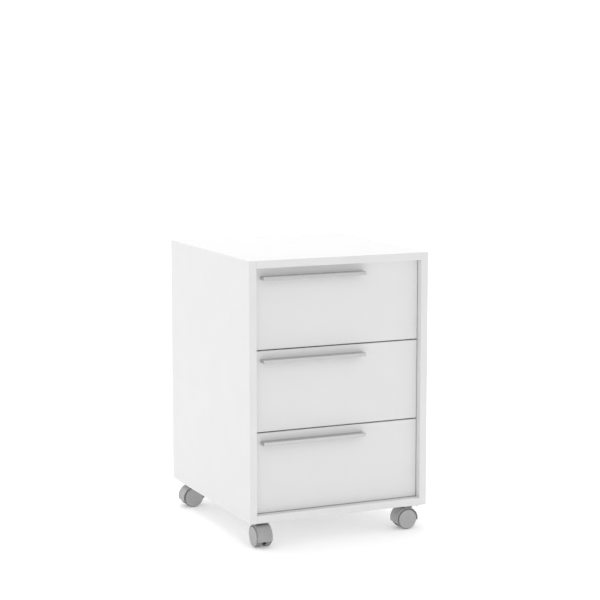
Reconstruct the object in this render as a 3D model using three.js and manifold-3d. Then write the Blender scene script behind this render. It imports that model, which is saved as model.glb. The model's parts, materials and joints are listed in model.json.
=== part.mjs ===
// Rolling pedestal cabinet: a white board carcass, three drawers on ball-bearing
// slides and four twin-wheel casters. Millimetres, +Z up, front facing -Y, floor at z = 0.
import * as THREE from "three";
import { mergeVertices } from "three/addons/utils/BufferGeometryUtils.js";
import Module from "manifold-3d";

const wasm = await Module();
wasm.setup();

// ---------------------------------------------------------------- driving dimensions

const BOARD = 16; // melamine-faced board of the carcass and the drawer fronts
const WIDTH = 410; // carcass
const DEPTH = 455;
const HEIGHT = 546;

const FRONT_RECESS = 16; // drawer fronts stand this far behind the carcass's front edges
const FRONT_GAP = 1; // between the drawer fronts and the carcass
const DRAWER_GAP = 2.5; // between one drawer front and the next
const LEVELS = ["bottom", "middle", "top"];

const HANDLE = {
  centres: 224, // between the two fixing screws
  leg: 10, // width of each leg along the front
  height: 7.5,
  projection: 19,
  bar: 4.5, // thickness of the lip that the fingers pull
  cover: 2, // thickness of the plate over the finger pocket
  outerRadius: 5,
  innerRadius: 1.5,
  fromLeft: 13.5, // from the front's left edge to the handle's end
  fromTop: 20, // from the front's top edge to the handle's centreline
  screwHole: 2.1, // radius in the leg
  screwDepth: 12,
  clearanceHole: 2.5, // radius through the drawer front
};

const DRAWER = {
  side: 12, // thickness of the box's sides and back
  sideHeight: 112,
  aboveFrontFoot: 22, // lower edge of the sides above the front's lower edge
  length: 400,
  clearance: 13, // between a side and the carcass, filled by a slide
  bottom: 3,
  grooveHeight: 3.5,
  grooveDepth: 6,
  grooveAbove: 10, // groove above the side's lower edge
};

const SLIDE = {
  length: 400,
  setback: 2, // behind the drawer front's back face
  sheet: 1.2,
  width: 12.7,
  aboveSideFoot: 48, // centreline above the drawer side's lower edge
};
// Each member is a channel: near and far are its reach from the carcass side, half its half height.
const SLIDE_MEMBERS = {
  cabinet_member: { web: "near", near: 0, far: 9.5, half: 22.7 },
  intermediate_member: { web: "near", near: 2.4, far: 10.9, half: 18.3 },
  drawer_member: { web: "far", near: 4.6, far: SLIDE.width, half: 13.9 },
};

const CASTER = {
  height: 53, // floor to carcass
  insetX: 30, // swivel axis from the carcass's side
  insetFront: 25,
  insetBack: 64,
  trail: 10, // wheel axle behind the swivel axis
  wheelRadius: 22.5,
  wheelShoulder: 2.1, // rounding of the tread's edges
  wheelInnerFace: 4.6, // distance from the caster's middle plane
  wheelOuterFace: 18,
  wheelRim: 3.4, // radial thickness of the tread
  wheelDisc: 2.6, // thickness of the outer disc
  hubRadius: 5,
  axleRadius: 2.5,
  boreRadius: 2.56,
  hoodOuter: 25.2,
  hoodInner: 23.2,
  hoodHalfWidth: 16.6,
  webHalfWidth: 3.7,
  longEnd: -19, // degrees below the axle, on the trailing side
  shortEnd: 190,
  bossRadius: 8.5,
  bossTop: 48,
  socketFoot: 33.5,
  plate: 38,
  plateThickness: 2.5,
  plateHole: 2.2,
  plateHoleSpacing: 28,
  collarRadius: 10,
  collarFoot: 48.3,
  pinFoot: 34,
  turns: 24, // sides of a round caster part
};
// The direction in which each caster trails, in degrees from +X, and its place on the carcass.
const CASTERS = {
  front_left: { x: -1, front: true, trails: -90, outerWheel: -1 },
  front_right: { x: 1, front: true, trails: 180, outerWheel: 1 },
  back_left: { x: -1, front: false, trails: 180, outerWheel: -1 },
  back_right: { x: 1, front: false, trails: 0, outerWheel: 1 },
};

// ---------------------------------------------------------------- derived places

const INNER = WIDTH / 2 - BOARD; // half the carcass's clear width
const FOOT = CASTER.height;
const TOP = FOOT + HEIGHT;
// The front-left caster's hood is the object's foremost point, and the origin is mid-depth.
const OVERHANG = CASTER.trail + CASTER.hoodOuter - CASTER.insetFront;
const FRONT = -(DEPTH - OVERHANG) / 2;
const BACK = FRONT + DEPTH;
const DRAWER_FACE = FRONT + FRONT_RECESS;
const DRAWER_REAR = DRAWER_FACE + BOARD; // back face of the drawer fronts
const FRONT_WIDTH = 2 * (INNER - FRONT_GAP);
const CLEAR_HEIGHT = HEIGHT - 2 * BOARD;
const FRONT_HEIGHT = (CLEAR_HEIGHT - 2 * FRONT_GAP - 2 * DRAWER_GAP) / 3;
const SIDE_OUTER = INNER - DRAWER.clearance;
const SIDE_INNER = SIDE_OUTER - DRAWER.side;

// ---------------------------------------------------------------- materials

const material = (color, roughness, metalness) =>
  new THREE.MeshStandardMaterial({ color, roughness, metalness });
const whiteBoard = () => material(0xf0f0ef, 0.55, 0);
const whiteDrawerBoard = () => material(0xe9e9e6, 0.6, 0);
const whiteHardboard = () => material(0xe4e3de, 0.7, 0);
const satinAluminium = () => material(0xc9cacc, 0.35, 0.9);
const zincSteel = () => material(0xb9bcc0, 0.4, 0.95);
const greyPlastic = () => material(0x9a9b9c, 0.5, 0);

// ---------------------------------------------------------------- solid helpers

function toSolid(geometry) {
  const bare = geometry.index ? geometry.toNonIndexed() : geometry.clone();
  bare.deleteAttribute("normal");
  bare.deleteAttribute("uv");
  const merged = mergeVertices(bare, 1e-4);
  return new wasm.Manifold(
    new wasm.Mesh({
      numProp: 3,
      vertProperties: new Float32Array(merged.attributes.position.array),
      triVerts: new Uint32Array(merged.index.array),
    }),
  );
}

function toGeometry(solid) {
  const mesh = solid.getMesh();
  const geometry = new THREE.BufferGeometry();
  geometry.setAttribute("position", new THREE.BufferAttribute(mesh.vertProperties, 3));
  geometry.setIndex(new THREE.BufferAttribute(mesh.triVerts, 1));
  const flat = geometry.toNonIndexed();
  flat.computeVertexNormals();
  return flat;
}

// A box between two corners.
function block([x0, y0, z0], [x1, y1, z1]) {
  const box = new THREE.BoxGeometry(x1 - x0, y1 - y0, z1 - z0);
  return box.translate((x0 + x1) / 2, (y0 + y1) / 2, (z0 + z1) / 2);
}

// Radius of a round part's corners whose flats lie on the true circle.
const overFlats = (radius, sides) => radius / Math.cos(Math.PI / sides);

// A cylinder along Y or Z about its centre point, with its flats on the true circle.
function rod(axis, [x, y, z], radius, length, sides = 16) {
  const corner = overFlats(radius, sides);
  const cylinder = new THREE.CylinderGeometry(corner, corner, length, sides);
  if (axis === "z") cylinder.rotateX(Math.PI / 2);
  return cylinder.translate(x, y, z);
}

const outline = (points) => new THREE.Shape(points.map(([x, y]) => new THREE.Vector2(x, y)));

// Extrudes an outline drawn in XZ along +Y from y0.
function extrudeAlongY(points, y0, length) {
  const geometry = new THREE.ExtrudeGeometry(outline(points), { depth: length, bevelEnabled: false });
  return geometry.rotateX(Math.PI / 2).translate(0, y0 + length, 0);
}

const model = new THREE.Group();

function add(name, geometry, mat, parent = model) {
  const mesh = new THREE.Mesh(geometry, mat);
  mesh.name = name;
  parent.add(mesh);
  return mesh;
}

// ---------------------------------------------------------------- carcass

function buildCarcass() {
  for (const [name, side] of [["left", -1], ["right", 1]]) {
    const outer = (side * WIDTH) / 2;
    const inner = side * INNER;
    add(
      `${name}_side_panel`,
      block([Math.min(outer, inner), FRONT, FOOT], [Math.max(outer, inner), BACK, TOP]),
      whiteBoard(),
    );
  }
  add("top_panel", block([-INNER, FRONT, TOP - BOARD], [INNER, BACK, TOP]), whiteBoard());
  add("bottom_panel", block([-INNER, FRONT, FOOT], [INNER, BACK, FOOT + BOARD]), whiteBoard());
  add(
    "back_panel",
    block([-INNER, BACK - BOARD, FOOT + BOARD], [INNER, BACK, TOP - BOARD]),
    whiteBoard(),
  );
}

// ---------------------------------------------------------------- drawers

function handleCentreX() {
  const end = -FRONT_WIDTH / 2 + HANDLE.fromLeft;
  return end + (HANDLE.centres + HANDLE.leg) / 2;
}

const handleScrewsX = () => [-1, 1].map((s) => handleCentreX() + (s * HANDLE.centres) / 2);

// The front board, with a stopped groove for the drawer bottom and two holes for the handle.
function drawerFront(footZ, handleZ, grooveZ) {
  const half = FRONT_WIDTH / 2;
  let front = toSolid(block([-half, DRAWER_FACE, footZ], [half, DRAWER_REAR, footZ + FRONT_HEIGHT]));
  const grooveHalf = SIDE_INNER + DRAWER.grooveDepth;
  const groove = block(
    [-grooveHalf, DRAWER_REAR - DRAWER.grooveDepth, grooveZ],
    [grooveHalf, DRAWER_REAR + 1, grooveZ + DRAWER.grooveHeight],
  );
  front = front.subtract(toSolid(groove));
  for (const x of handleScrewsX()) {
    const middle = [x, (DRAWER_FACE + DRAWER_REAR) / 2, handleZ];
    front = front.subtract(toSolid(rod("y", middle, HANDLE.clearanceHole, BOARD + 2, 12)));
  }
  return toGeometry(front);
}

// A side of the drawer box: a board whose inner face has the groove for the bottom.
function drawerSide(side, footZ) {
  const inner = side * SIDE_INNER;
  const outer = side * SIDE_OUTER;
  const grooved = side * (SIDE_INNER + DRAWER.grooveDepth);
  const grooveFoot = footZ + DRAWER.grooveAbove;
  const grooveTop = grooveFoot + DRAWER.grooveHeight;
  const section = [
    [inner, footZ],
    [outer, footZ],
    [outer, footZ + DRAWER.sideHeight],
    [inner, footZ + DRAWER.sideHeight],
    [inner, grooveTop],
    [grooved, grooveTop],
    [grooved, grooveFoot],
    [inner, grooveFoot],
  ];
  return extrudeAlongY(section, DRAWER_REAR, DRAWER.length);
}

// A lip pull: a D shape drawn from above and extruded upwards, closed on top by a thin plate that
// leaves a finger pocket open below, with a blind screw hole in each leg.
function handle(centreZ) {
  const half = (HANDLE.centres + HANDLE.leg) / 2;
  const face = DRAWER_FACE - HANDLE.projection;
  const gripBack = face + HANDLE.bar;
  const legInner = half - HANDLE.leg;
  const R = HANDLE.outerRadius;
  const r = HANDLE.innerRadius;
  const quarter = Math.PI / 2;
  const shape = new THREE.Shape();
  shape.moveTo(-half, DRAWER_FACE);
  shape.absarc(-half + R, face + R, R, Math.PI, Math.PI + quarter, false);
  shape.absarc(half - R, face + R, R, -quarter, 0, false);
  shape.lineTo(half, DRAWER_FACE);
  shape.lineTo(legInner, DRAWER_FACE);
  shape.absarc(legInner - r, gripBack + r, r, 0, -quarter, true);
  shape.absarc(-legInner + r, gripBack + r, r, -quarter, -Math.PI, true);
  shape.lineTo(-legInner, DRAWER_FACE);
  shape.closePath();
  const bar = new THREE.ExtrudeGeometry(shape, {
    depth: HANDLE.height,
    bevelEnabled: false,
    curveSegments: 6,
  });
  bar.translate(handleCentreX(), 0, centreZ - HANDLE.height / 2);
  const top = centreZ + HANDLE.height / 2;
  const cover = block(
    [handleCentreX() - legInner - 1, gripBack - 1, top - HANDLE.cover],
    [handleCentreX() + legInner + 1, DRAWER_FACE, top],
  );
  let solid = toSolid(bar).add(toSolid(cover));
  for (const x of handleScrewsX()) {
    const hole = [x, DRAWER_FACE - HANDLE.screwDepth / 2 + 1, centreZ];
    solid = solid.subtract(toSolid(rod("y", hole, HANDLE.screwHole, HANDLE.screwDepth + 2, 8)));
  }
  return toGeometry(solid);
}

// A channel-section slide member on the left (-1) or right (1) side, along the whole slide.
function slideMember(side, centreZ, { web, near, far, half }) {
  const at = (reach) => side * (INNER - reach);
  const webAt = web === "near" ? near : far;
  const lipAt = web === "near" ? far : near;
  const webInside = web === "near" ? near + SLIDE.sheet : far - SLIDE.sheet;
  const inside = half - SLIDE.sheet;
  const section = [
    [at(webAt), centreZ - half],
    [at(lipAt), centreZ - half],
    [at(lipAt), centreZ - inside],
    [at(webInside), centreZ - inside],
    [at(webInside), centreZ + inside],
    [at(lipAt), centreZ + inside],
    [at(lipAt), centreZ + half],
    [at(webAt), centreZ + half],
  ];
  return extrudeAlongY(section, DRAWER_REAR + SLIDE.setback, SLIDE.length);
}

function buildDrawer(level, index) {
  const frontFoot = FOOT + BOARD + FRONT_GAP + index * (FRONT_HEIGHT + DRAWER_GAP);
  const handleZ = frontFoot + FRONT_HEIGHT - HANDLE.fromTop;
  const sideFoot = frontFoot + DRAWER.aboveFrontFoot;
  const grooveFoot = sideFoot + DRAWER.grooveAbove;
  const rear = DRAWER_REAR + DRAWER.length;
  const play = (DRAWER.grooveHeight - DRAWER.bottom) / 2;

  add(`${level}_drawer_front`, drawerFront(frontFoot, handleZ, grooveFoot), whiteBoard());
  add(`${level}_drawer_left_side`, drawerSide(-1, sideFoot), whiteDrawerBoard());
  add(`${level}_drawer_right_side`, drawerSide(1, sideFoot), whiteDrawerBoard());
  add(
    `${level}_drawer_back`,
    block(
      [-SIDE_INNER, rear - DRAWER.side, grooveFoot + DRAWER.grooveHeight],
      [SIDE_INNER, rear, sideFoot + DRAWER.sideHeight],
    ),
    whiteDrawerBoard(),
  );
  const bottomHalf = SIDE_INNER + DRAWER.grooveDepth - play;
  add(
    `${level}_drawer_bottom`,
    block(
      [-bottomHalf, DRAWER_REAR - DRAWER.grooveDepth + play, grooveFoot + play],
      [bottomHalf, rear, grooveFoot + play + DRAWER.bottom],
    ),
    whiteHardboard(),
  );
  add(`${level}_drawer_handle`, handle(handleZ), satinAluminium());

  const slideZ = sideFoot + SLIDE.aboveSideFoot;
  for (const [name, side] of [["left", -1], ["right", 1]])
    for (const [member, section] of Object.entries(SLIDE_MEMBERS))
      add(`${level}_${name}_${member}`, slideMember(side, slideZ, section), zincSteel());
}

// ---------------------------------------------------------------- casters

// The fixed top plate: four screw holes, a collar under it and the king pin.
function casterPlate(x, y) {
  const foot = FOOT - CASTER.plateThickness;
  const h = CASTER.plate / 2;
  let plate = toSolid(block([x - h, y - h, foot], [x + h, y + h, FOOT]));
  const collarTop = foot + 1;
  const collarHeight = collarTop - CASTER.collarFoot;
  const collarMiddle = [x, y, CASTER.collarFoot + collarHeight / 2];
  plate = plate.add(toSolid(rod("z", collarMiddle, CASTER.collarRadius, collarHeight, CASTER.turns)));
  const pinHeight = collarTop - CASTER.pinFoot;
  const pinMiddle = [x, y, CASTER.pinFoot + pinHeight / 2];
  const pinRadius = CASTER.axleRadius * Math.cos(Math.PI / CASTER.turns);
  plate = plate.add(toSolid(rod("z", pinMiddle, pinRadius, pinHeight, CASTER.turns)));
  const s = CASTER.plateHoleSpacing / 2;
  for (const [dx, dy] of [[-s, -s], [s, -s], [s, s], [-s, s]]) {
    const middle = [x + dx, y + dy, FOOT - CASTER.plateThickness / 2];
    plate = plate.subtract(
      toSolid(rod("z", middle, CASTER.plateHole, CASTER.plateThickness + 2, 12)),
    );
  }
  return toGeometry(plate);
}

// A sector of a ring round the axle, drawn in XZ and extruded across the caster.
function ringSector(inner, outer, fromDegrees, toDegrees, halfWidth) {
  const steps = 22;
  const from = THREE.MathUtils.degToRad(fromDegrees);
  const to = THREE.MathUtils.degToRad(toDegrees);
  const arc = (radius) =>
    Array.from({ length: steps + 1 }, (_, i) => {
      const angle = from + ((to - from) * i) / steps;
      return [radius * Math.cos(angle), CASTER.wheelRadius + radius * Math.sin(angle)];
    });
  const points = inner > 0 ? [...arc(outer), ...arc(inner).reverse()] : arc(outer);
  return extrudeAlongY(points, -halfWidth, 2 * halfWidth);
}

// The swivelling hood in the caster's own frame: axle at x = 0 and the swivel axis at x = -trail.
function casterHood() {
  const { hoodOuter, hoodInner, hoodHalfWidth, webHalfWidth, trail, turns } = CASTER;
  const bossFoot = CASTER.wheelRadius + Math.sqrt(hoodInner ** 2 - trail ** 2) - 1;
  const bossHeight = CASTER.bossTop - bossFoot;
  const axleLength = 2 * (CASTER.wheelOuterFace - CASTER.wheelDisc);
  const axleRadius = CASTER.axleRadius * Math.cos(Math.PI / turns);
  const socketTop = CASTER.bossTop + 1;
  const socketHeight = socketTop - CASTER.socketFoot;
  let hood = toSolid(
    ringSector(hoodInner, hoodOuter, CASTER.longEnd, CASTER.shortEnd, hoodHalfWidth),
  );
  const web = ringSector(0, hoodInner + 0.6, -8, CASTER.shortEnd, webHalfWidth);
  hood = hood.add(toSolid(web));
  const axleCentre = [0, 0, CASTER.wheelRadius];
  hood = hood.add(toSolid(rod("y", axleCentre, CASTER.hubRadius, 2 * webHalfWidth, turns)));
  hood = hood.add(toSolid(rod("y", axleCentre, axleRadius, axleLength, turns)));
  const bossMiddle = [-trail, 0, bossFoot + bossHeight / 2];
  let boss = toSolid(rod("z", bossMiddle, CASTER.bossRadius, bossHeight, turns));
  const wheelRoom = rod("y", axleCentre, hoodInner, 2 * hoodHalfWidth, turns * 2);
  boss = boss.subtract(toSolid(wheelRoom));
  hood = hood.add(boss);
  const socketMiddle = [-trail, 0, CASTER.socketFoot + socketHeight / 2];
  hood = hood.subtract(toSolid(rod("z", socketMiddle, CASTER.boreRadius, socketHeight, turns)));
  return toGeometry(hood);
}

// A wheel turned about Y: a tread, a disc at its outer face and a bored hub, open towards the web.
function casterWheel(side) {
  const { wheelRadius, wheelShoulder, wheelInnerFace, wheelOuterFace, turns } = CASTER;
  const rimInside = wheelRadius - CASTER.wheelRim;
  const discInside = wheelOuterFace - CASTER.wheelDisc;
  const profile = [
    [CASTER.boreRadius, wheelInnerFace],
    [CASTER.hubRadius, wheelInnerFace],
    [CASTER.hubRadius, discInside],
    [rimInside, discInside],
    [rimInside, wheelInnerFace],
    [wheelRadius - wheelShoulder / 2, wheelInnerFace],
    [wheelRadius, wheelInnerFace + wheelShoulder / 2],
    [wheelRadius, wheelOuterFace - wheelShoulder],
    [wheelRadius - wheelShoulder * 0.3, wheelOuterFace - wheelShoulder * 0.3],
    [wheelRadius - wheelShoulder, wheelOuterFace],
    [1, wheelOuterFace],
    [1, discInside + 0.4],
    [CASTER.boreRadius, discInside + 0.4],
    [CASTER.boreRadius, wheelInnerFace],
  ];
  const points = profile.map(([r, y]) => new THREE.Vector2(overFlats(r, turns), y));
  const wheel = new THREE.LatheGeometry(points, turns, Math.PI / turns);
  if (side < 0) wheel.rotateX(Math.PI);
  return wheel.translate(0, 0, wheelRadius);
}

function buildCaster(name, { x, front, trails, outerWheel }) {
  const swivelX = x * (WIDTH / 2 - CASTER.insetX);
  const swivelY = front ? FRONT + CASTER.insetFront : BACK - CASTER.insetBack;
  add(`${name}_caster_plate`, casterPlate(swivelX, swivelY), zincSteel());

  // The turned group puts its own origin on the swivel axis, with the axle trailing along its +X.
  const swivel = new THREE.Group();
  swivel.position.set(swivelX, swivelY, 0);
  swivel.rotation.z = THREE.MathUtils.degToRad(trails);
  const axle = new THREE.Group();
  axle.position.x = CASTER.trail;
  swivel.add(axle);
  model.add(swivel);
  add(`${name}_caster_hood`, casterHood(), greyPlastic(), axle);
  add(`${name}_caster_outer_wheel`, casterWheel(outerWheel), greyPlastic(), axle);
  add(`${name}_caster_inner_wheel`, casterWheel(-outerWheel), greyPlastic(), axle);
}

// ---------------------------------------------------------------- assembly

buildCarcass();
LEVELS.forEach(buildDrawer);
for (const [name, caster] of Object.entries(CASTERS)) buildCaster(name, caster);

export default model;
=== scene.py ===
import json
import math

import bmesh
import bpy
from mathutils import Matrix, Vector


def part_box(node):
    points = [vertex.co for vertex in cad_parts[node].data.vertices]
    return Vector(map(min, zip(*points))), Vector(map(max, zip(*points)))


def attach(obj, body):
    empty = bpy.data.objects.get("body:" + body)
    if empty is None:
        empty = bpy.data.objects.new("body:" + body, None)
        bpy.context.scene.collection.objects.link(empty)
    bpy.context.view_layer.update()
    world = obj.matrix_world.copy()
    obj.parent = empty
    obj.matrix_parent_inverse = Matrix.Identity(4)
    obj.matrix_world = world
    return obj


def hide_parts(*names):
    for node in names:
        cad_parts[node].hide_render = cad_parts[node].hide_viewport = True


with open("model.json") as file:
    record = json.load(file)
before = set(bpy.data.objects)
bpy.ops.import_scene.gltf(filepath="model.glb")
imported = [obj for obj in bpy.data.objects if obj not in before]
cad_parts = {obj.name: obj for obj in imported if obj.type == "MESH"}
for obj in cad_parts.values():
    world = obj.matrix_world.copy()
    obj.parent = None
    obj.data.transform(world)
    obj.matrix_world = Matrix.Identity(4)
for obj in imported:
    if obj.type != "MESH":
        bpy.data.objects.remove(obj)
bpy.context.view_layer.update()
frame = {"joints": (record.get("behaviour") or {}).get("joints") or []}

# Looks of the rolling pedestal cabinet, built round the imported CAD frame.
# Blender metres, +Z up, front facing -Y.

MM = 0.001
JOINTS = {j["name"]: j for j in frame["joints"]}
LEVELS = ("bottom", "middle", "top")
SIDES = {"left": -1, "right": 1}
CASTERS = ("front_left", "front_right", "back_left", "back_right")

# ---------------------------------------------------------------- sizes that the frame doesn't hold

EDGE = 0.3 * MM  # softening of every board edge
BAND = 1.0 * MM  # thickness of the edge banding
BAND_ROUNDING = 0.8 * MM
GROOVE_DEPTH = 6 * MM  # for the drawer bottom
SHEET = 1.2 * MM  # steel of the slides
HANDLE_LEG = 10 * MM  # width of each leg along the front
HANDLE_LIP = 4.5 * MM  # thickness of the lip that the fingers pull
HANDLE_COVER = 2 * MM  # thickness of the plate over the finger pocket
HANDLE_ROUNDING = 0.8 * MM
PLATE_THICKNESS = 2.5 * MM  # of the casters' top plates
RACE_DEPTH = 2.2 * MM  # of the ball race under a caster plate

# ---------------------------------------------------------------- camera, light and floor

CAMERA_TARGET = Vector((0.017, 0.0196, 0.477))
CAMERA_DISTANCE = 3.959
CAMERA_AZIMUTH = math.radians(-24.34)
CAMERA_ELEVATION = math.radians(7.91)
CAMERA_LENS = 108

DOME_STRENGTH = 0.86
DOME_SLOPE = (0.05, 0.0, -0.12)
KEY_PLACE = (-0.1, 0.5, 3.4)
KEY_SIZE = 2.4
KEY_POWER = 28
FLOOR_GLOW = 0.24  # nearer than GLOW_START
BACKDROP_GLOW = 0.55  # beyond GLOW_END
GLOW_START = 0.5  # along +Y
GLOW_END = 7


def make_camera():
    data = bpy.data.cameras.new("camera")
    data.lens = CAMERA_LENS
    data.sensor_width = 36
    data.clip_end = 100
    camera = bpy.data.objects.new("camera", data)
    bpy.context.scene.collection.objects.link(camera)
    back = Vector((
        math.sin(CAMERA_AZIMUTH) * math.cos(CAMERA_ELEVATION),
        -math.cos(CAMERA_AZIMUTH) * math.cos(CAMERA_ELEVATION),
        math.sin(CAMERA_ELEVATION),
    ))
    camera.location = CAMERA_TARGET + back * CAMERA_DISTANCE
    camera.rotation_euler = back.to_track_quat("Z", "Y").to_euler()
    bpy.context.scene.camera = camera


def make_area_light(name, location, target, size, power):
    data = bpy.data.lights.new(name, "AREA")
    data.shape = "DISK"
    data.size = size
    data.energy = power
    light = bpy.data.objects.new(name, data)
    light.location = location
    light.rotation_euler = (Vector(location) - Vector(target)).to_track_quat("Z", "Y").to_euler()
    bpy.context.scene.collection.objects.link(light)


def make_studio():
    """A white dome, a little brighter towards the horizon, and one large soft light overhead."""
    world = bpy.data.worlds.new("studio")
    world.use_nodes = True
    tree = world.node_tree
    coordinates = tree.nodes.new("ShaderNodeTexCoord")
    slope = tree.nodes.new("ShaderNodeVectorMath")
    slope.operation = "DOT_PRODUCT"
    slope.inputs[1].default_value = DOME_SLOPE
    strength = tree.nodes.new("ShaderNodeMath")
    strength.operation = "ADD"
    strength.inputs[1].default_value = DOME_STRENGTH
    background = tree.nodes["Background"]
    background.inputs["Color"].default_value = (1, 1, 1, 1)
    tree.links.new(coordinates.outputs["Generated"], slope.inputs[0])
    tree.links.new(slope.outputs["Value"], strength.inputs[0])
    tree.links.new(strength.outputs["Value"], background.inputs["Strength"])
    bpy.context.scene.world = world
    bpy.context.scene.view_settings.view_transform = "Standard"
    make_area_light("key", KEY_PLACE, (0, 0, 0.3), KEY_SIZE, KEY_POWER)


def make_floor():
    """A floor that curves up into a backdrop far behind the object."""
    half_width, front, bend, radius, height, steps = 14, -6, 9, 4, 12, 12
    profile = [(front, 0), (bend, 0)]
    for i in range(1, steps + 1):
        angle = math.pi / 2 * i / steps
        profile.append((bend + radius * math.sin(angle), radius - radius * math.cos(angle)))
    profile.append((bend + radius, height))
    bm = bmesh.new()
    rows = [[bm.verts.new((x, y, z)) for x in (-half_width, half_width)] for y, z in profile]
    for low, high in zip(rows, rows[1:]):
        bm.faces.new((low[0], low[1], high[1], high[0]))
    mesh = bpy.data.meshes.new("floor")
    bm.to_mesh(mesh)
    bm.free()
    mesh.materials.append(floor_material())
    floor = bpy.data.objects.new("floor", mesh)
    bpy.context.scene.collection.objects.link(floor)


# ---------------------------------------------------------------- materials


class Shader:
    """A Principled material whose texture nodes read object coordinates, in metres."""

    def __init__(self, name, color, roughness, metallic=0.0, specular=0.5):
        self.material = bpy.data.materials.new(name)
        self.material.use_nodes = True
        self.tree = self.material.node_tree
        self.principled = self.tree.nodes["Principled BSDF"]
        self.set("Base Color", (*color, 1))
        self.set("Roughness", roughness)
        self.set("Metallic", metallic)
        self.set("Specular IOR Level", specular)
        self.coordinates = self.tree.nodes.new("ShaderNodeTexCoord").outputs["Object"]

    def set(self, socket, value):
        self.principled.inputs[socket].default_value = value

    def node(self, kind, **settings):
        node = self.tree.nodes.new(kind)
        for name, value in settings.items():
            if hasattr(node, name):
                setattr(node, name, value)
            else:
                node.inputs[name.replace("_", " ").title()].default_value = value
        return node

    def link(self, output, socket):
        self.tree.links.new(output, socket)

    def noise(self, scale, detail=3, roughness=0.5, stretch=(1, 1, 1)):
        mapping = self.node("ShaderNodeMapping")
        mapping.inputs["Scale"].default_value = stretch
        self.link(self.coordinates, mapping.inputs["Vector"])
        noise = self.node("ShaderNodeTexNoise", scale=scale, detail=detail, roughness=roughness)
        self.link(mapping.outputs["Vector"], noise.inputs["Vector"])
        return noise.outputs["Fac"]

    def ramp(self, factor, stops):
        ramp = self.node("ShaderNodeValToRGB")
        elements = ramp.color_ramp.elements
        for element, (position, color) in zip(elements, stops):
            element.position = position
            element.color = (*color, 1)
        for position, color in stops[2:]:
            elements.new(position).color = (*color, 1)
        self.link(factor, ramp.inputs["Fac"])
        return ramp.outputs["Color"]

    def vary_roughness(self, factor, low, high):
        span = self.node("ShaderNodeMapRange")
        span.inputs["To Min"].default_value = low
        span.inputs["To Max"].default_value = high
        self.link(factor, span.inputs["Value"])
        self.link(span.outputs["Result"], self.principled.inputs["Roughness"])

    def vary_color(self, factor, dark, light, start=0.35, end=0.65):
        color = self.ramp(factor, [(start, dark), (end, light)])
        self.link(color, self.principled.inputs["Base Color"])
        return color

    def bump(self, height, distance, strength=1.0, below=None):
        bump = self.node("ShaderNodeBump")
        bump.inputs["Distance"].default_value = distance
        bump.inputs["Strength"].default_value = strength
        self.link(height, bump.inputs["Height"])
        if below is not None:
            self.link(below, bump.inputs["Normal"])
        self.link(bump.outputs["Normal"], self.principled.inputs["Normal"])
        return bump.outputs["Normal"]


def scaled(color, share):
    return tuple(c * share for c in color)


def floor_material():
    """White paper with a glow that grows from the cabinet's place towards the backdrop."""
    shader = Shader("studio_floor", (0.95, 0.95, 0.95), 0.9, specular=0.0)
    shader.set("Emission Color", (1, 1, 1, 1))
    split = shader.node("ShaderNodeSeparateXYZ")
    span = shader.node("ShaderNodeMapRange")
    span.inputs["From Min"].default_value = GLOW_START
    span.inputs["From Max"].default_value = GLOW_END
    span.inputs["To Min"].default_value = FLOOR_GLOW
    span.inputs["To Max"].default_value = BACKDROP_GLOW
    shader.link(shader.coordinates, split.inputs["Vector"])
    shader.link(split.outputs["Y"], span.inputs["Value"])
    shader.link(span.outputs["Result"], shader.principled.inputs["Emission Strength"])
    return shader.material


def melamine(name, color, roughness, pearl):
    """A melamine face: a fine pearl emboss, with the faint clouding of a printed paper."""
    shader = Shader(name, color, roughness)
    clouds = shader.noise(14, detail=2)
    shader.vary_color(clouds, scaled(color, 0.988), color)
    fine = shader.noise(1400, detail=2, roughness=0.6)
    shader.vary_roughness(fine, roughness - 0.06, roughness + 0.08)
    soft = shader.bump(shader.noise(260, detail=1), 0.02 * MM, pearl)
    shader.bump(fine, 0.012 * MM, pearl, below=soft)
    return shader.material


def edge_band(name, color):
    """ABS edge banding: the board's white, a little glossier, with faint lines along its run."""
    shader = Shader(name, color, 0.36)
    lines = shader.noise(900, detail=2, stretch=(1, 0.05, 0.05))
    shader.vary_roughness(lines, 0.32, 0.42)
    shader.vary_color(shader.noise(20, detail=1), scaled(color, 0.985), color)
    shader.bump(lines, 0.008 * MM, 0.5)
    return shader.material


def hardboard():
    """Thin board, white lacquer on the face that looks up and bare brown fibre underneath."""
    shader = Shader("drawer_bottom_hardboard", (0.78, 0.78, 0.76), 0.6)
    fibre = shader.noise(420, detail=5, roughness=0.7, stretch=(1, 1, 0.2))
    brown = shader.ramp(fibre, [(0.3, (0.16, 0.09, 0.05)), (0.7, (0.34, 0.21, 0.12))])
    white = shader.ramp(fibre, [(0.2, (0.74, 0.74, 0.72)), (0.8, (0.79, 0.79, 0.775))])
    geometry = shader.node("ShaderNodeNewGeometry")
    split = shader.node("ShaderNodeSeparateXYZ")
    shader.link(geometry.outputs["Normal"], split.inputs["Vector"])
    upward = shader.node("ShaderNodeMath", operation="GREATER_THAN")
    upward.inputs[1].default_value = 0.5
    shader.link(split.outputs["Z"], upward.inputs[0])
    mix = shader.node("ShaderNodeMix", data_type="RGBA")
    shader.link(upward.outputs["Value"], mix.inputs["Factor"])
    shader.link(brown, mix.inputs[6])
    shader.link(white, mix.inputs[7])
    shader.link(mix.outputs[2], shader.principled.inputs["Base Color"])
    shader.bump(fibre, 0.05 * MM, 0.6)
    return shader.material


def anodised_aluminium():
    """Bright anodised bar: fine brushing along its length under a clear oxide."""
    color = (0.55, 0.55, 0.555)
    shader = Shader("handle_bright_aluminium", color, 0.2, metallic=1.0)
    brushing = shader.noise(2600, detail=4, roughness=0.65, stretch=(0.015, 1, 1))
    shader.vary_color(brushing, scaled(color, 0.95), scaled(color, 1.04))
    shader.vary_roughness(brushing, 0.15, 0.26)
    shader.bump(brushing, 0.004 * MM, 0.4)
    return shader.material


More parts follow.
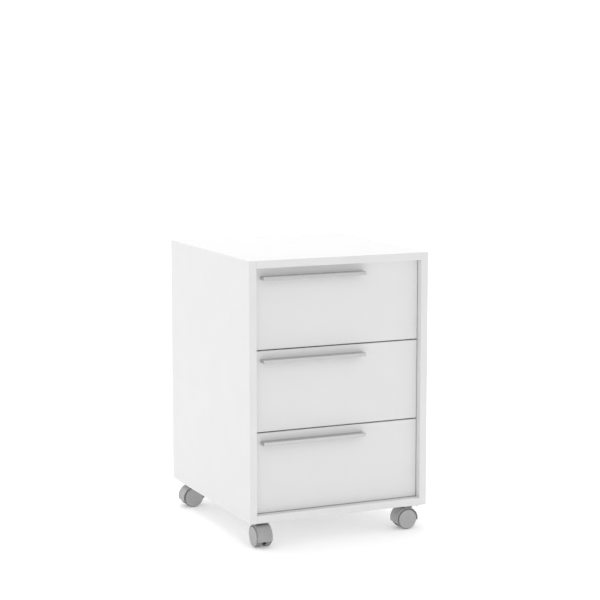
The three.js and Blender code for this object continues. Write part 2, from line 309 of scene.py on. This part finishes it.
def zinc_steel(name, color, roughness=0.34):
    """Zinc-plated sheet: crystalline mottling, rolling lines and a trace of yellow in the plating."""
    shader = Shader(name, color, roughness, metallic=1.0)
    mottle = shader.noise(160, detail=5, roughness=0.6)
    tint = (color[0] * 1.04, color[1] * 1.03, color[2] * 0.96)
    shader.vary_color(mottle, scaled(color, 0.88), tint)
    shader.vary_roughness(mottle, roughness - 0.06, roughness + 0.12)
    rolling = shader.noise(900, detail=2, stretch=(1, 0.03, 1))
    shader.bump(rolling, 0.01 * MM, 0.6)
    return shader.material


def moulded_nylon(name, color, roughness):
    """Grey glass-filled nylon: spark-eroded texture and a slight flow mottling."""
    shader = Shader(name, color, roughness, specular=0.45)
    flow = shader.noise(60, detail=3)
    shader.vary_color(flow, scaled(color, 0.95), scaled(color, 1.04))
    grain = shader.noise(2200, detail=3, roughness=0.7)
    shader.vary_roughness(grain, roughness - 0.07, roughness + 0.08)
    shader.bump(grain, 0.03 * MM, 0.6)
    return shader.material


WHITE = (0.80, 0.80, 0.798)
BOX_WHITE = (0.74, 0.74, 0.73)
CASTER_GREY = (0.40, 0.40, 0.405)
WHEEL_GREY = (0.42, 0.42, 0.425)
# Partly painted shade: the tyre is darker than the hood and wheel partly as its own grey, and partly to stand
# for the shade in the ring round the wheel's disc and at the wheel's foot.
TYRE_GREY_AND_RING_SHADE = (0.24, 0.24, 0.242)


def make_materials():
    return {
        "board": melamine("white_melamine", WHITE, 0.46, 0.5),
        "band": edge_band("white_edge_band", WHITE),
        "drawer_board": melamine("drawer_side_foil", BOX_WHITE, 0.52, 0.8),
        "hardboard": hardboard(),
        "handle": anodised_aluminium(),
        "slide": zinc_steel("slide_zinc_steel", (0.58, 0.59, 0.60)),
        "ball": zinc_steel("bearing_ball_steel", (0.66, 0.66, 0.67), roughness=0.15),
        "cage": moulded_nylon("ball_cage_plastic", (0.03, 0.03, 0.032), 0.45),
        "screw": zinc_steel("screw_zinc_steel", (0.62, 0.62, 0.62), roughness=0.28),
        "plate": zinc_steel("caster_plate_steel", (0.55, 0.56, 0.57)),
        "hood": moulded_nylon("caster_hood_nylon", CASTER_GREY, 0.5),
        "wheel": moulded_nylon("caster_wheel_nylon", WHEEL_GREY, 0.46),
        # The tyre's dark grey holds painted shade for the ring round the wheel's disc, on top of the tyre's
        # own darker grey.
        "tyre": moulded_nylon("caster_tyre_with_painted_ring_shade", TYRE_GREY_AND_RING_SHADE, 0.6),
        "cap": moulded_nylon("white_cover_cap", (0.76, 0.76, 0.75), 0.42),
    }


# ---------------------------------------------------------------- mesh helpers


def slab(low, high):
    """A box between two corners."""
    bm = bmesh.new()
    bmesh.ops.create_cube(bm, size=1)
    low, high = Vector(low), Vector(high)
    for vertex in bm.verts:
        vertex.co = Vector(
            (low[k] if vertex.co[k] < 0 else high[k]) for k in range(3)
        )
    return bm


def prism(outline, axis, start, end):
    """A closed outline of (u, v) points, extruded along an axis: u, v are the other two axes in order."""
    def place(u, v, w):
        return {"x": (w, u, v), "y": (u, w, v), "z": (u, v, w)}[axis]

    bm = bmesh.new()
    near = [bm.verts.new(place(u, v, start)) for u, v in outline]
    far = [bm.verts.new(place(u, v, end)) for u, v in outline]
    bm.faces.new(near)
    bm.faces.new(list(reversed(far)))
    for i in range(len(outline)):
        j = (i + 1) % len(outline)
        bm.faces.new((near[i], far[i], far[j], near[j]))
    bmesh.ops.recalc_face_normals(bm, faces=bm.faces)
    return bm


def lathe(profile, segments=48):
    """A profile of (radius, height) points turned about Z. Points on the axis close it."""
    bm = bmesh.new()
    rings = []
    for radius, height in profile:
        if radius < 1e-9:
            rings.append([bm.verts.new((0, 0, height))])
        else:
            turn = [2 * math.pi * i / segments for i in range(segments)]
            rings.append([
                bm.verts.new((radius * math.cos(t), radius * math.sin(t), height)) for t in turn
            ])
    closed = len(rings[0]) > 1
    pairs = zip(rings, rings[1:] + rings[:1]) if closed else zip(rings, rings[1:])
    for low, high in pairs:
        for i in range(segments):
            j = (i + 1) % segments
            corners = [low[i % len(low)], low[j % len(low)], high[j % len(high)], high[i % len(high)]]
            unique = list(dict.fromkeys(corners))
            if len(unique) > 2:
                bm.faces.new(unique)
    bmesh.ops.recalc_face_normals(bm, faces=bm.faces)
    return bm


def arc(centre, radius, start, end, steps):
    """Points on an arc between two angles in degrees."""
    angles = [math.radians(start + (end - start) * i / steps) for i in range(steps + 1)]
    return [(centre[0] + radius * math.cos(a), centre[1] + radius * math.sin(a)) for a in angles]


def sharp_edges(bm, angle=35):
    return [e for e in bm.edges if e.is_manifold and e.calc_face_angle(0) > math.radians(angle)]


def round_edges(bm, radius, segments=3, edges=None, angle=35):
    bmesh.ops.bevel(
        bm,
        geom=sharp_edges(bm, angle) if edges is None else edges,
        offset=radius,
        offset_type="OFFSET",
        segments=segments,
        profile=0.5,
        affect="EDGES",
        clamp_overlap=True,
    )
    return bm


def moved(bm, offset):
    bmesh.ops.translate(bm, verts=bm.verts, vec=Vector(offset))
    return bm


def turned(bm, matrix):
    bmesh.ops.transform(bm, matrix=matrix, verts=bm.verts)
    return bm


def join(parts):
    """Several closed solids as one mesh of separate shells."""
    whole = bmesh.new()
    for part in parts:
        mesh = bpy.data.meshes.new("part")
        part.to_mesh(mesh)
        part.free()
        whole.from_mesh(mesh)
        bpy.data.meshes.remove(mesh)
    return whole


def combine(base, others, operation):
    """Joins or cuts solids with exact booleans."""
    def as_object(bm):
        mesh = bpy.data.meshes.new("operand")
        bm.to_mesh(mesh)
        bm.free()
        made = bpy.data.objects.new("operand", mesh)
        bpy.context.scene.collection.objects.link(made)
        return made

    target = as_object(base)
    tools = [as_object(other) for other in others]
    for tool in tools:
        modifier = target.modifiers.new("boolean", "BOOLEAN")
        modifier.operation = operation
        modifier.solver = "EXACT"
        modifier.object = tool
    depsgraph = bpy.context.evaluated_depsgraph_get()
    result = bmesh.new()
    result.from_mesh(target.evaluated_get(depsgraph).to_mesh())
    for used in [target, *tools]:
        mesh = used.data
        bpy.data.objects.remove(used)
        bpy.data.meshes.remove(mesh)
    bmesh.ops.remove_doubles(result, verts=result.verts, dist=1e-6)
    bmesh.ops.dissolve_limit(result, angle_limit=math.radians(1), verts=result.verts, edges=result.edges)
    return result


def piece(name, bm, material, body, replaces=()):
    """Makes a named piece that rides on a CAD body, smooth except at real corners."""
    for edge in bm.edges:
        edge.smooth = not (edge.is_manifold and edge.calc_face_angle(0) > math.radians(38))
    for face in bm.faces:
        face.smooth = True
    mesh = bpy.data.meshes.new(name)
    bm.to_mesh(mesh)
    bm.free()
    mesh.materials.append(material)
    made = bpy.data.objects.new(name, mesh)
    bpy.context.scene.collection.objects.link(made)
    modifier = made.modifiers.new("face_weighted_normals", "WEIGHTED_NORMAL")
    modifier.keep_sharp = True
    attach(made, body)
    if replaces:
        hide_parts(*replaces)
    return made


# ---------------------------------------------------------------- screws and caps


def cross_screw(head_radius, head_height):
    """A pan head with a cross recess, its seat at z = 0 and its crown up."""
    arm, width = head_radius * 0.55, head_radius * 0.13
    cross = []
    for quarter in range(4):
        turn = Matrix.Rotation(math.pi / 2 * quarter, 2)
        cross += [turn @ Vector(p) for p in ((arm, -width), (arm, width), (width, width))]
    outer_angles = [math.atan2(p.y, p.x) for p in cross]
    crown, shoulder = 0.72 * head_radius, head_radius
    bm = bmesh.new()
    floor = [bm.verts.new((0.75 * p.x, 0.75 * p.y, head_height * 0.35)) for p in cross]
    lip = [bm.verts.new((p.x, p.y, head_height)) for p in cross]
    rings = [
        [bm.verts.new((r * math.cos(a), r * math.sin(a), z)) for a in outer_angles]
        for r, z in (
            (crown, head_height * 0.97),
            (shoulder * 0.93, head_height * 0.75),
            (shoulder, head_height * 0.4),
            (shoulder, 0),
        )
    ]
    bm.faces.new(floor)
    bm.faces.new(list(reversed(rings[-1])))
    for inner, outer in zip([floor, lip, *rings], [lip, *rings]):
        for i in range(len(cross)):
            j = (i + 1) % len(cross)
            bm.faces.new((inner[i], outer[i], outer[j], inner[j]))
    bmesh.ops.recalc_face_normals(bm, faces=bm.faces)
    return bm


def facing(direction):
    """The turn that points +Z along a direction."""
    return Vector(direction).to_track_quat("Z", "Y").to_matrix().to_4x4()


def screws(places, direction, head_radius, head_height):
    """One mesh of equal screws at several points, all facing one way."""
    turn = facing(direction)
    return join([
        moved(turned(cross_screw(head_radius, head_height), turn), place) for place in places
    ])


def cover_cap(radius, height):
    """A shallow round cap with a softened rim."""
    rim = 0.35 * height
    profile = [(0, height), (radius - rim, height)]
    profile += [(radius - rim + rim * math.sin(t), height - rim + rim * math.cos(t)) for t in (0.5, 1.0)]
    profile += [(radius, height - rim), (radius, 0), (0, 0)]
    return lathe(profile, 28)


# ---------------------------------------------------------------- carcass


def front_edge_band(name, node):
    """The strip of banding on a board's front edge, rounded along its two long edges."""
    low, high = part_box(node)
    band = slab(low, (high.x, low.y + BAND, high.z))
    front = [e for e in band.edges if all(v.co.y < low.y + BAND / 2 for v in e.verts)]
    span = high - low
    run = 2 if span.z > span.x else 0
    long_edges = [e for e in front if abs(e.verts[0].co[run] - e.verts[1].co[run]) > BAND]
    round_edges(band, BAND_ROUNDING, 3, edges=long_edges)
    piece(name, band, MATERIALS["band"], "carcass")


def make_carcass():
    for node in ("left_side_panel", "right_side_panel", "top_panel", "bottom_panel"):
        low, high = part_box(node)
        board = round_edges(slab((low.x, low.y + BAND, low.z), high), EDGE, 2)
        piece(f"{node}_board", board, MATERIALS["board"], "carcass", [node])
        front_edge_band(f"{node}_edge_band", node)
    low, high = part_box("back_panel")
    back = round_edges(slab(low, high), EDGE, 2)
    piece("back_panel_board", back, MATERIALS["board"], "carcass", ["back_panel"])


def make_cam_caps():
    """Cover caps over the cam fittings that hold the top and bottom boards to the sides."""
    radius, height, from_side = 8.5 * MM, 1.2 * MM, 34 * MM
    for node, face, direction in (("top_panel", 0, (0, 0, -1)), ("bottom_panel", 1, (0, 0, 1))):
        low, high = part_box(node)
        z = (low, high)[face].z
        caps = []
        for x in (low.x + from_side, high.x - from_side):
            for share in (0.12, 0.88):
                place = (x, low.y + share * (high.y - low.y), z)
                caps.append(moved(turned(cover_cap(radius, height), facing(direction)), place))
        piece(f"{node}_cam_caps", join(caps), MATERIALS["cap"], "carcass")


# ---------------------------------------------------------------- drawers


def make_front(level, body):
    """The front board with banding round all four edges."""
    node = f"{level}_drawer_front"
    low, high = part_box(node)
    inset = Vector((BAND, 0, BAND))
    core = round_edges(slab(low + inset, high - inset), 0.1 * MM, 1)
    piece(f"{node}_board", core, MATERIALS["board"], body, [node])
    bm = bmesh.new()
    rings = []
    for y in (low.y, high.y):
        for edge in (Vector((0, 0, 0)), inset):
            a, b = low + edge, high - edge
            corners = ((a.x, a.z), (b.x, a.z), (b.x, b.z), (a.x, b.z))
            rings.append([bm.verts.new((x, y, z)) for x, z in corners])
    front_outer, front_inner, rear_outer, rear_inner = rings
    loops = (front_outer, rear_outer, rear_inner, front_inner)
    for first, second in zip(loops, loops[1:] + loops[:1]):
        for i in range(4):
            j = (i + 1) % 4
            bm.faces.new((first[i], second[i], second[j], first[j]))
    bmesh.ops.recalc_face_normals(bm, faces=bm.faces)
    outer = set(front_outer) | set(rear_outer)
    rim = [e for e in bm.edges if set(e.verts) <= outer]
    round_edges(bm, BAND_ROUNDING * 0.9, 3, edges=rim)
    piece(f"{node}_edge_band", bm, MATERIALS["band"], body)


def make_box(level, body):
    """The drawer box: grooved sides, back and bottom."""
    floor_low, floor_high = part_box(f"{level}_drawer_bottom")
    play = 0.2 * MM
    for name, side in SIDES.items():
        node = f"{level}_drawer_{name}_side"
        low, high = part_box(node)
        inner, outer = (high.x, low.x) if side < 0 else (low.x, high.x)
        grooved = inner + side * GROOVE_DEPTH
        groove_foot, groove_top = floor_low.z - play, floor_high.z + play
        section = [
            (inner, low.z), (outer, low.z), (outer, high.z), (inner, high.z),
            (inner, groove_top), (grooved, groove_top), (grooved, groove_foot), (inner, groove_foot),
        ]
        board = prism(section, "y", low.y, high.y)
        long_top = [e for e in board.edges if all(abs(v.co.z - high.z) < 1e-6 for v in e.verts)]
        round_edges(board, 1.2 * MM, 3, edges=long_top)
        piece(f"{node}_board", board, MATERIALS["drawer_board"], body, [node])
    low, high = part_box(f"{level}_drawer_back")
    back = round_edges(slab(low, high), 0.6 * MM, 2)
    piece(
        f"{level}_drawer_back_board", back, MATERIALS["drawer_board"], body,
        [f"{level}_drawer_back"],
    )
    bottom = round_edges(slab(floor_low, floor_high), 0.2 * MM, 1)
    piece(
        f"{level}_drawer_bottom_sheet", bottom, MATERIALS["hardboard"], body,
        [f"{level}_drawer_bottom"],
    )


def make_box_screws(level, body):
    """Screws through the sides into the back, through the bottom into the back, and cam caps at the front."""
    back_low, back_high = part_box(f"{level}_drawer_back")
    mid_y = (back_low.y + back_high.y) / 2
    heights = (back_low.z + 18 * MM, back_high.z - 18 * MM)
    for name, side in SIDES.items():
        low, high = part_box(f"{level}_drawer_{name}_side")
        outer = low.x if side < 0 else high.x
        places = [(outer, mid_y, z) for z in heights]
        made = screws(places, (side, 0, 0), 3.4 * MM, 0.9 * MM)
        piece(f"{level}_drawer_{name}_side_screws", made, MATERIALS["screw"], body)
        inner = high.x if side < 0 else low.x
        caps = [
            moved(turned(cover_cap(6.5 * MM, 1.0 * MM), facing((-side, 0, 0))), (inner, low.y + 24 * MM, z))
            for z in (low.z + 32 * MM, high.z - 20 * MM)
        ]
        piece(f"{level}_drawer_{name}_cam_caps", join(caps), MATERIALS["cap"], body)
    floor_low, floor_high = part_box(f"{level}_drawer_bottom")
    span = back_high.x - back_low.x
    places = [(back_low.x + span * share, mid_y, floor_low.z) for share in (0.08, 0.36, 0.64, 0.92)]
    made = screws(places, (0, 0, -1), 3.2 * MM, 0.9 * MM)
    piece(f"{level}_drawer_bottom_screws", made, MATERIALS["screw"], body)


def handle_outline(low, high):
    """The D shape of a handle seen from above, its legs on the drawer front at high.y."""
    outer, inner = 5 * MM, 1.5 * MM
    grip = low.y + HANDLE_LIP
    left, right = low.x + HANDLE_LEG, high.x - HANDLE_LEG
    points = [(low.x, high.y)]
    points += arc((low.x + outer, low.y + outer), outer, 180, 270, 10)
    points += arc((high.x - outer, low.y + outer), outer, 270, 360, 10)
    points += [(high.x, high.y), (right, high.y)]
    points += arc((right - inner, grip + inner), inner, 0, -90, 5)
    points += arc((left + inner, grip + inner), inner, -90, -180, 5)
    points += [(left, high.y)]
    return points


def make_handle(level, body):
    """A lip pull: legs and lip in one, a plate over the finger pocket, and its two screws."""
    node = f"{level}_drawer_handle"
    low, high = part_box(node)
    bar = prism(handle_outline(low, high), "z", low.z, high.z)
    overlap = 1 * MM
    cover = slab(
        (low.x + HANDLE_LEG - overlap, low.y + HANDLE_LIP - overlap, high.z - HANDLE_COVER),
        (high.x - HANDLE_LEG + overlap, high.y, high.z),
    )
    bar = combine(bar, [cover], "UNION")

    def on_cover_underside(edge):
        return all(abs(v.co.z - (high.z - HANDLE_COVER)) < 1e-6 for v in edge.verts)

    rims = [
        e for e in bar.edges
        if abs(e.verts[0].co.z - e.verts[1].co.z) < 1e-7
        and any(v.co.y < high.y - 1e-6 for v in e.verts)
        and not on_cover_underside(e)
    ]
    round_edges(bar, HANDLE_ROUNDING, 4, edges=rims)
    piece(f"{node}_bar", bar, MATERIALS["handle"], body, [node])
    front_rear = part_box(f"{level}_drawer_front")[1].y
    mid_z = (low.z + high.z) / 2
    places = [(x, front_rear, mid_z) for x in (low.x + HANDLE_LEG / 2, high.x - HANDLE_LEG / 2)]
    made = screws(places, (0, 1, 0), 4 * MM, 2.4 * MM)
    piece(f"{level}_drawer_handle_screws", made, MATERIALS["screw"], body)


# ---------------------------------------------------------------- slides


def bent_sheet(path, thickness, radius):
    """Outline of a sheet that follows a centreline of straight runs with rounded bends."""
    left, right = [], []
    count = len(path)
    for i, point in enumerate(path):
        here = Vector(point)
        if i in (0, count - 1):
            other = Vector(path[1] if i == 0 else path[-2])
            along = (other - here if i == 0 else here - other).normalized()
            across = Vector((-along.y, along.x)) * thickness / 2
            left.append(here + across)
            right.append(here - across)
            continue
        before = (here - Vector(path[i - 1])).normalized()
        after = (Vector(path[i + 1]) - here).normalized()
        turn = math.copysign(1, before.x * after.y - before.y * after.x)
        centre = here - before * radius + turn * radius * Vector((-before.y, before.x))
        for step in range(5):
            swing = math.pi / 2 * step / 4 * turn
            normal = Matrix.Rotation(swing, 2) @ Vector((-before.y, before.x))
            on_line = centre - turn * radius * normal
            left.append(on_line + normal * thickness / 2)
            right.append(on_line - normal * thickness / 2)
    return [tuple(p) for p in left + list(reversed(right))]


def channel(node, side, web_near, lip):
    """A rolled slide member in its CAD node's box, its flanges turned in at the tips by lip."""
    low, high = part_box(node)
    near, far = (low.x, high.x) if side < 0 else (high.x, low.x)
    web, tip = (near, far) if web_near else (far, near)
    inward = math.copysign(SHEET / 2, tip - web)
    web += inward
    tip -= inward
    mid = (low.z + high.z) / 2
    half = (high.z - low.z) / 2 - SHEET / 2
    path = [(tip, mid + half - lip), (tip, mid + half), (web, mid + half)]
    path += [(web, mid - half), (tip, mid - half), (tip, mid - half + lip)]
    outline = bent_sheet(path, SHEET, 0.75 * MM)
    return prism(outline, "y", low.y, high.y)


def ball_cage(x, z, ball, start, length):
    """A plastic strip that spaces steel balls, above and below the channel's middle."""
    strip_width, strip_thickness, pitch = 2.2 * MM, 0.8 * MM, 9 * MM
    strips, balls = [], []
    for sign in (-1, 1):
        middle = (x, z[0] + sign * z[1])
        low = (middle[0] - strip_width, start, middle[1] - strip_thickness / 2)
        high = (middle[0] + strip_width, start + length, middle[1] + strip_thickness / 2)
        strips.append(round_edges(slab(low, high), 0.2 * MM, 1))
        for i in range(int(length / pitch)):
            sphere = bmesh.new()
            bmesh.ops.create_uvsphere(sphere, u_segments=10, v_segments=6, radius=ball)
            balls.append(moved(sphere, (middle[0], start + pitch * (i + 0.5), middle[1])))
    return join(strips), join(balls)


def make_slides(level):
    """Three members, two ball cages and the fixing screws on each side of a drawer."""
    drawer, between = f"{level}_drawer", f"{level}_slide_intermediates"
    for name, side in SIDES.items():
        stem = f"{level}_{name}"
        for member, body, web_near, lip in (
            ("cabinet_member", "carcass", True, 1.6 * MM),
            ("intermediate_member", between, True, 1.4 * MM),
            ("drawer_member", drawer, False, 0.9 * MM),
        ):
            node = f"{stem}_{member}"
            shape = channel(node, side, web_near, lip)
            piece(f"{node}_channel", shape, MATERIALS["slide"], body, [node])
        outer_low, outer_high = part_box(f"{stem}_cabinet_member")
        mid_low, mid_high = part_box(f"{stem}_intermediate_member")
        inner_low, inner_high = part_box(f"{stem}_drawer_member")
        mid_z = (outer_low.z + outer_high.z) / 2
        start = outer_low.y + 6 * MM
        cage_length = 165 * MM
        for cage, body, out, inn in (
            ("outer", "carcass", (outer_low, outer_high), (mid_low, mid_high)),
            ("inner", between, (mid_low, mid_high), (inner_low, inner_high)),
        ):
            gap_top = (out[1].z - out[0].z) / 2 - SHEET
            gap_foot = (inn[1].z - inn[0].z) / 2
            ball = (gap_top - gap_foot) / 2 * 0.94
            x = (max(out[0].x, inn[0].x) + min(out[1].x, inn[1].x)) / 2
            strip, balls = ball_cage(x, (mid_z, (gap_top + gap_foot) / 2), ball, start, cage_length)
            piece(f"{stem}_{cage}_ball_cage", strip, MATERIALS["cage"], body)
            piece(f"{stem}_{cage}_balls", balls, MATERIALS["ball"], body)
        make_slide_screws(stem, side, drawer, mid_z)


def make_slide_screws(stem, side, drawer, mid_z):
    low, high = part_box(f"{stem}_cabinet_member")
    wall = low.x if side < 0 else high.x
    face = wall - side * SHEET
    places = [(face, low.y + share * (high.y - low.y), mid_z) for share in (0.09, 0.48, 0.87)]
    made = screws(places, (-side, 0, 0), 3.6 * MM, 0.9 * MM)
    piece(f"{stem}_cabinet_member_screws", made, MATERIALS["screw"], "carcass")
    low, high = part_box(f"{stem}_drawer_member")
    wall = high.x if side < 0 else low.x
    face = wall + side * SHEET
    places = [(face, low.y + share * (high.y - low.y), mid_z) for share in (0.13, 0.55, 0.92)]
    made = screws(places, (side, 0, 0), 3.6 * MM, 1.5 * MM)
    piece(f"{stem}_drawer_member_screws", made, MATERIALS["screw"], drawer)


# ---------------------------------------------------------------- casters

HOOD_OUTER = 25.2 * MM
HOOD_INNER = 23.2 * MM
HOOD_HALF_WIDTH = 16.6 * MM
WEB_HALF_WIDTH = 3.7 * MM
BOSS_RADIUS = 8.5 * MM
AXLE_RADIUS = 2.5 * MM
WHEEL_RADIUS = 22.5 * MM
WHEEL_SHOULDER = 2.1 * MM
WHEEL_INNER_FACE = 4.6 * MM
WHEEL_OUTER_FACE = 18 * MM
LONG_END = -19  # degrees from the trailing direction
SHORT_END = 190


def hood_shape(swivel_height, trail):
    """The hood with its web and swivel boss, axle at the origin along Y, trailing along +X."""
    steps = 40
    shell = prism(
        arc((0, 0), HOOD_OUTER, LONG_END, SHORT_END, steps)
        + list(reversed(arc((0, 0), HOOD_INNER, LONG_END, SHORT_END, steps))),
        "y", -HOOD_HALF_WIDTH, HOOD_HALF_WIDTH,
    )
    round_edges(shell, 0.75 * MM, 3)
    web = prism(
        arc((0, 0), HOOD_INNER + 0.8 * MM, -8, SHORT_END - 1, steps), "y", -WEB_HALF_WIDTH, WEB_HALF_WIDTH
    )
    hub = turned(lathe([(0, -WEB_HALF_WIDTH), (6 * MM, -WEB_HALF_WIDTH), (6 * MM, WEB_HALF_WIDTH),
                        (0, WEB_HALF_WIDTH)], 40), facing((0, 1, 0)))
    boss_foot = math.sqrt(HOOD_INNER ** 2 - trail ** 2) + 0.4 * MM
    fillet = 1.0 * MM
    boss = lathe([
        (0, boss_foot), (BOSS_RADIUS + fillet, boss_foot), (BOSS_RADIUS + fillet * 0.3, boss_foot + 2.2 * MM),
        (BOSS_RADIUS, boss_foot + 3 * MM), (BOSS_RADIUS, swivel_height - 0.6 * MM),
        (BOSS_RADIUS - 0.6 * MM, swivel_height), (0, swivel_height),
    ], 40)
    moved(boss, (-trail, 0, 0))
    return combine(shell, [web, hub, boss], "UNION")


def wheel_shape():
    """The core of a wheel about Z, its outer face up: a dished disc, a hub and a seat for the tyre."""
    inner, outer = WHEEL_INNER_FACE, WHEEL_OUTER_FACE
    face = WHEEL_RADIUS - WHEEL_SHOULDER
    seat = WHEEL_RADIUS - 1.6 * MM
    rim = WHEEL_RADIUS - 3.4 * MM
    disc = outer - 2.6 * MM
    profile = [(0, outer - 0.1 * MM), (14 * MM, outer - 0.2 * MM), (face - 1.2 * MM, outer)]
    profile += arc((face - 0.4 * MM, outer - 0.4 * MM), 0.4 * MM, 90, 0, 3)
    profile += [(face, outer - 3.4 * MM), (seat, outer - 3.4 * MM)]
    profile += [(seat, inner + 0.5 * MM), (rim, inner + 0.5 * MM)]
    profile += [(rim, disc - 1 * MM), (rim - 1 * MM, disc), (6 * MM, disc), (5 * MM, disc - 1 * MM)]
    profile += [(5 * MM, inner), (2.6 * MM, inner), (2.6 * MM, disc + 0.4 * MM), (0, disc + 0.4 * MM)]
    return lathe(profile, 72)


def tyre_shape():
    """The tyre of a wheel about Z: a band round the core with a rounded shoulder beside the disc."""
    r, inner, outer = WHEEL_RADIUS, WHEEL_INNER_FACE, WHEEL_OUTER_FACE
    shoulder = 1.2 * MM
    seat = r - 1.6 * MM
    lip = r - WHEEL_SHOULDER + 0.1 * MM
    top = outer - 2.4 * MM
    profile = [(lip, top - 0.8 * MM), (lip, top)]
    profile += arc((r - shoulder, top - shoulder), shoulder, 90, 0, 6)
    profile += arc((r - 0.9 * MM, inner + 0.9 * MM), 0.9 * MM, 0, -90, 4)
    profile += [(seat, inner), (seat, top - 0.8 * MM)]
    return lathe(profile, 72)


def plate_shape(low, high):
    """The top plate, with rounded corners."""
    corner = 4 * MM
    outline = []
    for x, y, start in (
        (high.x - corner, high.y - corner, 0),
        (low.x + corner, high.y - corner, 90),
        (low.x + corner, low.y + corner, 180),
        (high.x - corner, low.y + corner, 270),
    ):
        outline += arc((x, y), corner, start, start + 90, 6)
    plate = prism(outline, "z", high.z - PLATE_THICKNESS, high.z)
    return round_edges(plate, 0.4 * MM, 2, angle=60)


def make_caster(name):
    plate_node, hood_node = f"{name}_caster_plate", f"{name}_caster_hood"
    swivel = Vector(JOINTS[f"{name}_swivel_turn"]["pos_m"])
    axle = Vector(JOINTS[f"{name}_outer_wheel_spin"]["pos_m"])
    trailing = Vector((axle.x - swivel.x, axle.y - swivel.y, 0))
    turn = Matrix.Rotation(math.atan2(trailing.y, trailing.x), 4, "Z")
    place = Matrix.Translation(axle) @ turn
    plate_low, plate_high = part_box(plate_node)
    swivel_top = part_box(hood_node)[1].z

    plate = plate_shape(plate_low, plate_high)
    piece(f"{name}_caster_top_plate", plate, MATERIALS["plate"], "carcass", [plate_node])
    plate_foot = plate_high.z - PLATE_THICKNESS
    race = lathe([
        (0, 0), (11 * MM, 0), (11 * MM, -0.6 * MM),
        (10 * MM, -1.9 * MM), (9.4 * MM, -RACE_DEPTH), (0, -RACE_DEPTH),
    ], 40)
    moved(race, (swivel.x, swivel.y, plate_foot))
    piece(f"{name}_caster_ball_race", race, MATERIALS["plate"], "carcass")
    pin = lathe([(0, 0), (2.45 * MM, 0), (2.45 * MM, -13.5 * MM), (2 * MM, -14 * MM), (0, -14 * MM)], 24)
    moved(pin, (swivel.x, swivel.y, plate_foot - RACE_DEPTH))
    piece(f"{name}_caster_king_pin", pin, MATERIALS["screw"], "carcass")
    spacing = 14 * MM
    places = [
        (swivel.x + i * spacing, swivel.y + j * spacing, plate_foot) for i in (-1, 1) for j in (-1, 1)
    ]
    heads = screws(places, (0, 0, -1), 3.5 * MM, 1.6 * MM)
    piece(f"{name}_caster_plate_screws", heads, MATERIALS["screw"], "carcass")

    hood = turned(hood_shape(swivel_top - axle.z, trailing.length), place)
    swivel_body = f"{name}_swivel"
    piece(f"{name}_caster_hood_shell", hood, MATERIALS["hood"], swivel_body, [hood_node])
    axle_half = 15.2 * MM
    rod = lathe([
        (0, -axle_half), (AXLE_RADIUS, -axle_half), (AXLE_RADIUS, axle_half), (0, axle_half),
    ], 24)
    turned(rod, place @ facing((0, 1, 0)))
    piece(f"{name}_caster_axle", rod, MATERIALS["screw"], swivel_body)
    for which in ("outer", "inner"):
        node = f"{name}_caster_{which}_wheel"
        low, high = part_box(node)
        middle = (low + high) / 2
        across = Vector((middle.x - axle.x, middle.y - axle.y, 0)).normalized()
        body = f"{name}_{which}_wheel"
        stand = Matrix.Translation(axle) @ facing(across)
        core = turned(wheel_shape(), stand)
        piece(f"{node}_core", core, MATERIALS["wheel"], body, [node])
        tyre = turned(tyre_shape(), stand)
        piece(f"{node}_tyre", tyre, MATERIALS["tyre"], body)


# ---------------------------------------------------------------- assembly

make_camera()
make_studio()
make_floor()
MATERIALS = make_materials()
make_carcass()
make_cam_caps()
for drawer_level in LEVELS:
    drawer_body = f"{drawer_level}_drawer"
    make_front(drawer_level, drawer_body)
    make_box(drawer_level, drawer_body)
    make_box_screws(drawer_level, drawer_body)
    make_handle(drawer_level, drawer_body)
    make_slides(drawer_level)
for caster_name in CASTERS:
    make_caster(caster_name)
